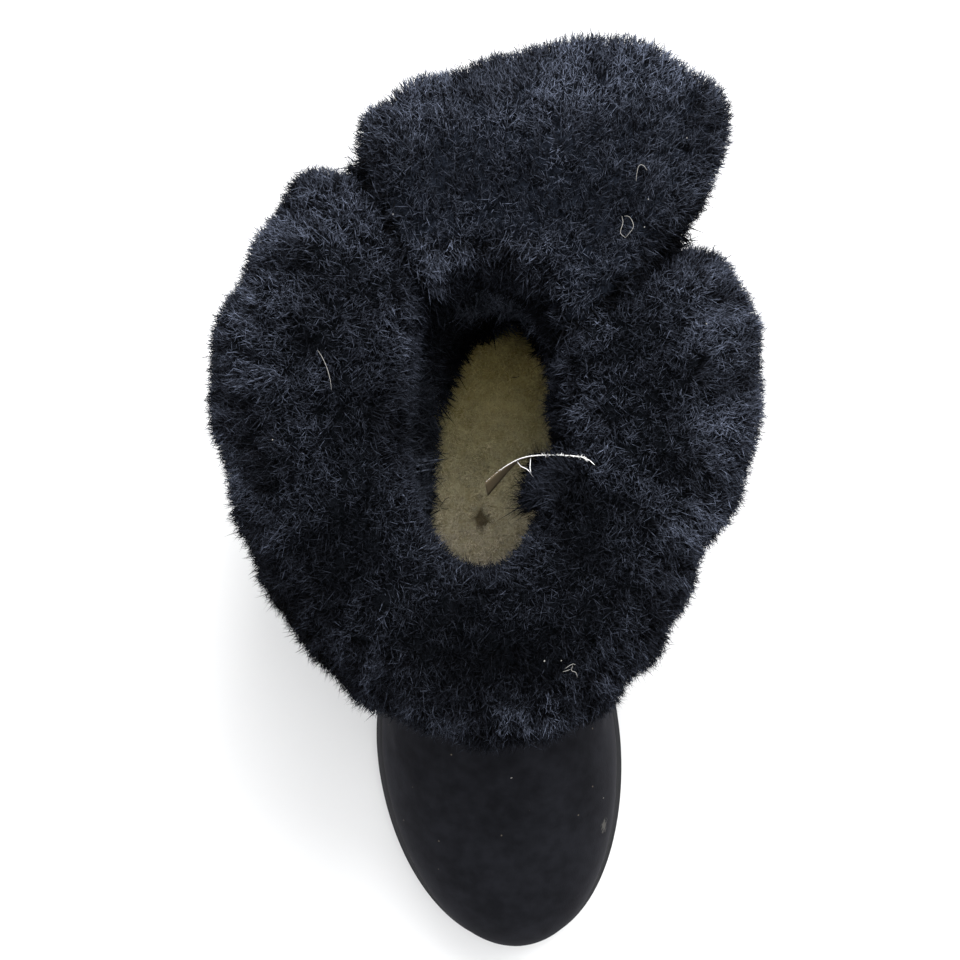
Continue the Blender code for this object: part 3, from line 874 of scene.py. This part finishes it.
def cuff_flow(places, normals):
    """Falls outwards outside the crest and inwards inside it."""
    away, out = outwards(places)
    side = np.clip((out - CREST) / CREST_BAND, -1, 1)
    way = side * (LEAN + LEAN_MORE * np.clip((out - LEAN_FROM) / LEAN_OVER, 0, 1))
    return away * way[:, None] - np.array((0, 0, DROOP))


def cuff_light_and_shade(places):
    """Painted light and shade of the wool at each place: the patches, times the furrows that run outwards."""
    tone = np.ones(len(places))
    for x, y, reach_x, reach_y, factor in LIGHT_AND_SHADE_PATCHES:
        gap = ((places[:, 0] / MM - x) / reach_x) ** 2 + ((places[:, 1] / MM - y) / reach_y) ** 2
        tone *= 1 + (factor - 1) * np.exp(-gap)
    away, out = outwards(places)
    turn = np.arctan2(away[:, 1], away[:, 0]) * FURROW_TURN
    along = (out - places[:, 2]) * FURROW / FURROW_LENGTH
    furrows = swirl(np.column_stack((turn, along, 0 * turn)), FURROW, seed=31)[:, 0]
    to_hem = np.clip((out - FURROWS_FROM) / FURROWS_OVER, FURROWS_LEAST, 1)
    return tone * np.exp(FURROW_STRENGTH * furrows * to_hem)


for node, (blades, contrast) in CUFF_BLADES.items():
    grown = grow_over(node, on_wool_side, flow=cuff_flow, blades=blades, a_wisp=5, length=PILE,
                      width=BLADE_WIDTH, lock_area=LOCK_AREA, depth=ROOT_DEPTH, curl=1.3 * MM,
                      tone=cuff_light_and_shade, contrast=contrast)
    wool_pieces(node + "_wool", grown)

# %% [markdown]
# Where the flap lies against the rest of the cuff their wool tangles. Longer hairs that stand across the
# seam close it, so that no floor shows through.

# %% Wool across the seam
SEAM_PILE = 5 * MM
SEAM_NEAR = 4 * MM
wrap_tree = tree_of("cuff_wrap")


def beside_seam(middles, normals):
    return np.array([wrap_tree.find_nearest(Vector(place), SEAM_NEAR)[0] is not None for place in middles])


grown = grow_over("cuff_flap", beside_seam, flow=cuff_flow, blades=9000, a_wisp=5, length=SEAM_PILE,
                  width=0.4 * MM, lock_area=LOCK_AREA, depth=0.5 * MM, curl=2.5 * MM, tone=cuff_light_and_shade)
wool_pieces("seam_wool", grown)

# %% [markdown]
# Inside, the same black wool lines the shaft down to the insole. Hardly any light reaches it, so a
# thinner growth of longer hairs is enough, and its colours are made lighter as painted light. At the heel
# it bulges over the insole. Two tufts hang into the mouth from the cuff: one under the label tape, and
# one over the flap's lip at the back.

# %% Wool lining of the shaft
LINING_TOP = 0.132
LINING_LOW = 0.031
LINING_FRONT = -0.105
LINING_PILE = 11 * MM
HEEL_PILE = 15 * MM
TAPE_SIDE_PILE = 8 * MM
LIP_PILE = 5 * MM
LINING_LOCK = 90e-6
TUFT_LOCK = 60e-6
SHADED_TONE = 0.35
HANG = 0.35
# The low sides of the heel: behind and below this, and not in the middle
HEEL_FROM = 0.002
HEEL_TOP = 0.070
HEEL_MIDDLE = (-0.006, 0.014)
# Two corners of a box round each tuft's place
TAPE_SIDE = ((0.004, -0.042, 0.135), (0.022, -0.029, 0.180))
LIP = ((-0.028, 0.024, 0.146), (0.012, 0.037, 0.170))
# Painted shade on the flap's edge: darker below this height, lighter over this rise, within these tones
LIP_DARK = 0.147
LIP_RISE = 8 * MM
LIP_TONES = (0.4, 1.4)
# The lining's tone, and how fast it gets lighter to the back, from its outer corner on
LINING_TONE = 1.1
BACK_FROM = 5 * MM
BACK_RISE = 1.2 * MM
BACK_MOST = 10
CORNER_FROM = -26 * MM
CORNER_RISE = 12 * MM


def shaded(places):
    return SHADED_TONE


def within(places, box):
    """True for the places inside a box given by two corners."""
    return ((places > box[0]) & (places < box[1])).all(axis=1)


def lined(middles, normals):
    deep = (middles[:, 2] > LINING_LOW) & (middles[:, 2] < LINING_TOP) & (middles[:, 1] > LINING_FRONT)
    return faces_foot(middles, normals) & deep


def lined_heel(middles, normals):
    """The low sides of the lining at the heel, where the wool bulges over the insole."""
    low = (middles[:, 2] < HEEL_TOP) & (middles[:, 1] > HEEL_FROM)
    beside = (middles[:, 0] < HEEL_MIDDLE[0]) | (middles[:, 0] > HEEL_MIDDLE[1])
    return lined(middles, normals) & low & beside


def under_tape(middles, normals):
    """The part of the cuff's inner side where the wool leans into the mouth under the tape."""
    return within(middles, TAPE_SIDE) & (normals[:, 0] < -0.2)


def on_lip(middles, normals):
    """The flap's edge over the back of the mouth, where its wool hangs in."""
    return within(middles, LIP) & (normals[:, 1] < -0.15)


def lip_tone(places):
    """Painted light and shade: lighter towards the top of the flap's edge, darker lower down where it turns
    down into the mouth.
    """
    return np.clip((places[:, 2] - LIP_DARK) / LIP_RISE, *LIP_TONES)


def hanging(places, normals):
    return np.array((0, 0, -HANG))


def lining_tone(places):
    """Lighter to the back, where the wall faces the toe and the light falls on it."""
    back = np.clip((places[:, 1] - BACK_FROM) / BACK_RISE, 0, BACK_MOST)
    return LINING_TONE + back * np.clip((places[:, 0] - CORNER_FROM) / CORNER_RISE, 0, 1)


grown = grow(part_of(upper, lined), hanging, blades=21000, a_wisp=7, length=LINING_PILE,
             width=0.6 * MM, lock_area=LINING_LOCK, tone=lining_tone)
wool_pieces("lining_wool", grown, PAINTED_LIGHT_LINING_WOOL)
grown = grow(part_of(upper, lined_heel), hanging, blades=4900, a_wisp=7, length=HEEL_PILE,
             width=0.8 * MM, lock_area=LINING_LOCK, tone=shaded)
wool_pieces("heel_lining_wool", grown, PAINTED_LIGHT_LINING_WOOL)
grown = grow_over("cuff_wrap", under_tape, flow=hanging, blades=4200, a_wisp=6, length=TAPE_SIDE_PILE,
                  width=0.34 * MM, lock_area=TUFT_LOCK, curl=2.2 * MM, tone=shaded)
wool_pieces("tape_side_wool", grown)
grown = grow_over("cuff_flap", on_lip, flow=hanging, blades=4000, a_wisp=6, length=LIP_PILE,
                  width=0.28 * MM, lock_area=TUFT_LOCK, curl=1.3 * MM, tone=lip_tone)
wool_pieces("lip_wool", grown)

# %% [markdown]
# The insole is cream sheepskin with its wool cropped short and trodden flat, so it is soft but matted:
# low clots in two sizes, and short curly hairs lying every way.

# %% Cream sheepskin insole
FLEECE_CLOT = 8 * MM
FLEECE_RISE = 0.9 * MM
FINE_CLOT = 3 * MM
FINE_RISE = 0.35 * MM
FLEECE_CURLS = 6 * MM
FLEECE_LEAN = 1.5
FLEECE_FRONT = -0.12
insole = merged_copy("insole", "fleece_insole", 3)
points, corners, faces, smooth = triangles(insole)
up = np.clip(smooth[:, 2], 0, 1) ** 2
rise = swirl(points, FLEECE_CLOT, seed=8)[:, 0] * FLEECE_RISE
rise += swirl(points, FINE_CLOT, seed=9)[:, 0] * FINE_RISE
set_points(insole, points + np.array((0, 0, 1.0)) * (rise * up)[:, None])
dress(insole, CREAM_MAT)
place_piece(insole, "cream_wool", "insole")


def seen_fleece(middles, normals):
    return (normals[:, 2] > 0.5) & (middles[:, 1] > FLEECE_FRONT)


def lying(places, normals):
    return FLEECE_LEAN * swirl(places, FLEECE_CURLS, seed=12)


grown = grow(part_of(insole, seen_fleece), lying, blades=20400, a_wisp=6, length=1.5 * MM,
             width=0.34 * MM, lock_area=40e-6, curl=0.7 * MM, contrast=0.25)
wool_pieces("fleece_wool", grown, CREAM_WOOL, "cream_wool")

# %% [markdown]
# Threads, stray hairs and stitches are thin round strands. One helper draws a smooth line through a few
# points on the boot and wraps a narrow tube round it, and all strands of a kind become one mesh.

# %% Strands
STRAND_SIDES = 5
STRAND_STEPS = 4
THIN_END = 0.5
TAPER = (0.08, 0.92)
# A direction that no strand follows
SLANT = (0.31, 0.17, 0.93)


def smooth_line(corners):
    """A smooth line through the corner points, with a few steps from each to the next."""
    corners = np.array(corners, dtype=float)
    held = np.vstack((2 * corners[0] - corners[1], corners, 2 * corners[-1] - corners[-2]))
    line = []
    for a, b, c, d in zip(held, held[1:], held[2:], held[3:]):
        for t in np.linspace(0, 1, STRAND_STEPS, endpoint=False):
            curve = (c - a) * t + (2 * a - 5 * b + 4 * c - d) * t**2
            line.append(b + (curve + (3 * b - a - 3 * c + d) * t**3) / 2)
    return np.array([*line, corners[-1]])


def strands(name, lines, radius, material):
    """One mesh of strands, thinner to both ends, each along its own points. All in metres."""
    points, faces = [], []
    for corners in lines:
        line = smooth_line(corners)
        way = unit(np.gradient(line, axis=0))
        side = unit(np.cross(way, SLANT))
        lift = np.cross(way, side)
        thick = radius * from_least(THIN_END, np.sin(np.pi * np.linspace(*TAPER, len(line))))
        first = len(points)
        for centre, across, up, r in zip(line, side, lift, thick):
            for turn in range(STRAND_SIDES):
                angle = 2 * math.pi * turn / STRAND_SIDES
                points.append(centre + r * (across * math.cos(angle) + up * math.sin(angle)))
        for row in range(len(line) - 1):
            for turn in range(STRAND_SIDES):
                here, after = first + row * STRAND_SIDES, (turn + 1) % STRAND_SIDES
                above = here + STRAND_SIDES
                faces.append((here + turn, here + after, above + after, above + turn))
        faces.append(tuple(reversed(range(first, first + STRAND_SIDES))))
        faces.append(tuple(range(len(points) - STRAND_SIDES, len(points))))
    mesh = bpy.data.meshes.new(name)
    mesh.from_pydata([tuple(p) for p in points], [], faces)
    mesh.shade_smooth()
    obj = into_scene(name, mesh)
    dress(obj, material)
    return obj


def plain(name, text, **sockets):
    return start(name, Roughness=0.9, Base_Color=colour(text), **sockets)[0]


def in_metres(lines):
    return [[np.array(corner) * MM for corner in line] for line in lines]


# %% [markdown]
# A blank label tape stands on edge in the mouth. One end is sewn in under the wool of the inner side, the
# other hangs free and turns its face up a little. It is a flat strip first: a grid with the tape's size,
# whose rows are then laid along the path of its upper edge. Its cut edge frays into white fluff.

# %% Label tape
TAPE_WIDTH = 10 * MM
TAPE_THICKNESS = 0.35 * MM
TAPE_ALONG = 48
TAPE_ACROSS = 5
FRAY_HAIRS = 200
FRAY_REACH = 0.7 * MM
FRAY_SPREAD = 0.5
FRAY_CROWDING = 1.6
FRAY_SHORTENS = (1.1, 0.15)
FRAY_ARCH = 0.6
FRAY_LIFT = 0.2 * MM
DOWN = (0.0, 0.0, -1.0)
# The tape's upper edge in mm, and the way its width hangs from there
TAPE_EDGE = (
    ((22.7, -28.0, 167.0), DOWN),
    ((21.0, -26.9, 168.0), DOWN),
    ((16.1, -26.4, 166.5), DOWN),
    ((10.4, -26.2, 162.5), DOWN),
    ((6.0, -26.5, 158.5), DOWN),
    ((2.2, -27.5, 154.5), (0.03, -0.06, -1.0)),
    ((-3.0, -30.6, 150.0), (0.05, -0.30, -0.95)),
    ((-7.6, -34.5, 146.0), (0.09, -0.42, -0.90)),
)
edge = smooth_line([[v * MM for v in place] for place, _ in TAPE_EDGE])
hang = unit(smooth_line([way for _, way in TAPE_EDGE]))
steps = lengths_along(edge)
TAPE_LENGTH = float(steps[-1])


def laid(line, along):
    """Places on the line at these lengths along the tape."""
    return np.column_stack([np.interp(along, steps, line[:, i]) for i in range(3)])


bpy.ops.mesh.primitive_grid_add(x_subdivisions=TAPE_ALONG, y_subdivisions=TAPE_ACROSS, size=1)
tape = bpy.context.object
tape.name = "label_tape"
points = triples(tape.data.vertices, "co")
along, down = (points[:, 0] + 0.5) * TAPE_LENGTH, (points[:, 1] + 0.5) * TAPE_WIDTH
set_points(tape, laid(edge, along) + unit(laid(hang, along)) * down[:, None])
only(tape)
thick = tape.modifiers.new("thickness", "SOLIDIFY")
thick.thickness = TAPE_THICKNESS
thick.offset = 0
bpy.ops.object.modifier_apply(modifier=thick.name)
tape.data.shade_smooth()
dress(tape, plain("woven_label_tape", "6E6048"))
TAPE_WHITE = plain("frayed_white_yarn", "F2F2F2")

shares = RNG.random(FRAY_HAIRS) ** FRAY_CROWDING
roots = laid(edge, shares * TAPE_LENGTH)
shorter = np.clip(FRAY_SHORTENS[0] - shares, FRAY_SHORTENS[1], 1)
reach = RNG.normal(0, FRAY_SPREAD, (FRAY_HAIRS, 3)) * FRAY_REACH * shorter[:, None]
fray = [(root, root + far * FRAY_ARCH + (0, 0, FRAY_LIFT), root + far) for root, far in zip(roots, reach)]
fluff = strands("label_fray", fray, 0.07 * MM, TAPE_WHITE)
hem = strands("label_edge_yarn", [edge[3:-3:3]], 0.16 * MM, TAPE_WHITE)
# Loose ends of yarn: two at the bend, and the tail that runs on into the wool, in mm
LOOSE_YARN = (
    ((2.2, -28.0, 155), (3.2, -29.5, 159), (5.3, -30.7, 161), (7.1, -33.1, 161)),
    ((6.2, -27.0, 158), (5.9, -30.1, 161), (6.2, -31.3, 161)),
    ((20.5, -26.9, 168), (22.7, -27.8, 171), (24.4, -29.3, 171.5)),
)
yarn = strands("label_loose_yarn", in_metres(LOOSE_YARN), 0.12 * MM, TAPE_WHITE)
for piece in (tape, fluff, hem, yarn):
    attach(piece, "root")
print("label tape", round(TAPE_LENGTH / MM, 1), "mm long")

# %% [markdown]
# The boot has been worn and handled: pale hairs and crumbs of lint lie on the black wool, and a few dark
# hairs have fallen on the cream insole. Each lies where the photo shows it.

# %% Lint and stray hairs
PALE_HAIRS = (
    ((-56.7, 4.3, 172), (-55.2, 2.1, 173.2), (-53.8, -1.0, 173.4), (-52.9, -4.3, 173.2), (-52.6, -7.4, 172)),
    ((36.3, 53.4, 173), (36.6, 56.4, 173.6), (37.3, 58.0, 173.6), (38.5, 57.8, 173.4), (39.5, 56.6, 173)),
    ((32.1, 43.1, 173.4), (32.4, 41.2, 173.6), (31.7, 38.3, 173.4), (33.2, 36.9, 173.2)),
    ((33.2, 36.9, 173.2), (35.4, 39.8, 173.6), (34.9, 42.1, 173.6), (34.0, 43.1, 173.4), (32.9, 43.2, 173.2)),
    ((15.6, -88.9, 172), (16.9, -87.9, 172.6), (17.9, -87.4, 172.6), (18.7, -87.7, 172)),
    ((17.9, -87.9, 172.4), (17.5, -89.3, 172.6), (18.8, -89.9, 172.4), (19.3, -91.4, 171.6)),
    ((15.0, -89.8, 172), (16.4, -89.3, 172.4), (17.3, -89.0, 172)),
)
DARK_HAIRS = (
    ((3.6, 8.6, 33.4), (5.2, 8.3, 34), (6.9, 8.9, 33.4)),
    ((-25.6, -44.6, 33.6), (-23.6, -41.8, 34), (-21.9, -40.8, 33.6)),
    ((-25.2, -45.2, 33.6), (-23.5, -45.6, 34), (-22.1, -45.4, 33.6)),
)
CRUMBS = (
    (39.9, 48.1, 173.4), (38.6, 40.0, 173.4), (9.5, -86.8, 172.2), (14.6, -86.6, 172.2),
    (2.4, -146.6, 71.0), (39.9, -160.3, 48.0), (-35, 44, 171), (51, 66, 173), (-70, -22, 171), (57, 12, 172),
)
CRUMB = 0.22 * MM
pale = strands("pale_stray_hairs", in_metres(PALE_HAIRS), 0.075 * MM, plain("pale_hair", "8E8C88"))
dark = strands("dark_stray_hairs", in_metres(DARK_HAIRS), 0.15 * MM, plain("dark_hair", "1A1510"))
ends = [(np.array(c) * MM, np.array(c) * MM + RNG.normal(0, CRUMB, 3)) for c in CRUMBS]
crumbs = strands("lint_crumbs", ends, CRUMB, plain("pale_lint", "8E8C88"))
for piece in (pale, dark, crumbs):
    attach(piece, "root")

# %% [markdown]
# Stitches hold the heel counter and close the seam up the back. Each stitch is a short strand that rises
# from the suede. Their lines are found on the solids: below the counter's top edge, and beside the
# middle of the back.

# %% Stitches
STITCH = 2.6 * MM
STITCH_GAP = 0.9 * MM
STITCH_INSET = 3 * MM
THREAD = 0.32 * MM
SEAM_HALF = 2.4 * MM
SEAM_HEIGHTS = (0.069, 0.100)
SEAM_STEPS = 12
BEHIND = 0.2
# Three places along a stitch, as shares of its length, and their heights over the suede in threads
STITCH_ARCH = ((0.0, -0.5), (0.5, 1.0), (1.0, -0.5))
HEEL_TURNS = np.radians(np.arange(-50, 231, 4))
OUTSIDE = 4 * MM


def stitched(line, tree):
    """Stitches along a line, each lifted off the nearest surface in its middle."""
    far = lengths_along(line)
    made = []
    for begin in np.arange(0, far[-1] - STITCH, STITCH + STITCH_GAP):
        stitch = []
        for share, lift in STITCH_ARCH:
            place = Vector(np.interp(begin + share * STITCH, far, line[:, i]) for i in range(3))
            hit, normal = tree.find_nearest(place)[:2]
            stitch.append(hit + normal * THREAD * lift)
        made.append(stitch)
    return made


counter_tree = tree_of("heel_counter")
low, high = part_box("heel_counter")
middle = np.array(((low[0] + high[0]) / 2, 0.0))
counter_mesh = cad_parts["heel_counter"].data
counter_points = triples(counter_mesh.vertices, "co")
pairs = np.array([e.vertices for e in counter_mesh.edges])
level = counter_points[:, :2] - middle
line = []
for turn in HEEL_TURNS:
    # The counter's edges are cut with an upright half plane, and the highest cut is its top edge
    way = np.array((math.cos(turn), math.sin(turn)))
    off, far = level @ np.array((-way[1], way[0])), level @ way
    first, last = pairs[(off[pairs].prod(axis=1) < 0) & (far[pairs].min(axis=1) > 0)].T
    share = (off[first] / (off[first] - off[last]))[:, None]
    cuts = counter_points[first] + (counter_points[last] - counter_points[first]) * share
    if len(cuts):
        top = cuts[cuts[:, 2].argmax()]
        line.append(top + np.append(way * OUTSIDE, -STITCH_INSET))
rows = stitched(np.array(line), counter_tree)

outer_tree = tree_of("upper")
for side in (-SEAM_HALF, SEAM_HALF):
    line = []
    for height in np.linspace(*SEAM_HEIGHTS, SEAM_STEPS):
        hit = outer_tree.ray_cast(Vector((middle[0] + side, BEHIND, height)), Vector((0, -1, 0)))[0]
        line.append(hit if hit else Vector((middle[0] + side, UPPER_HIGH[1], height)))
    rows += stitched(np.array(line), outer_tree)
WAXED = plain("waxed_black_thread", "1B1B1E", Specular_IOR_Level=0.3)
stitches = strands("seam_stitches", rows, THREAD, WAXED)
place_piece(stitches, "black_suede")
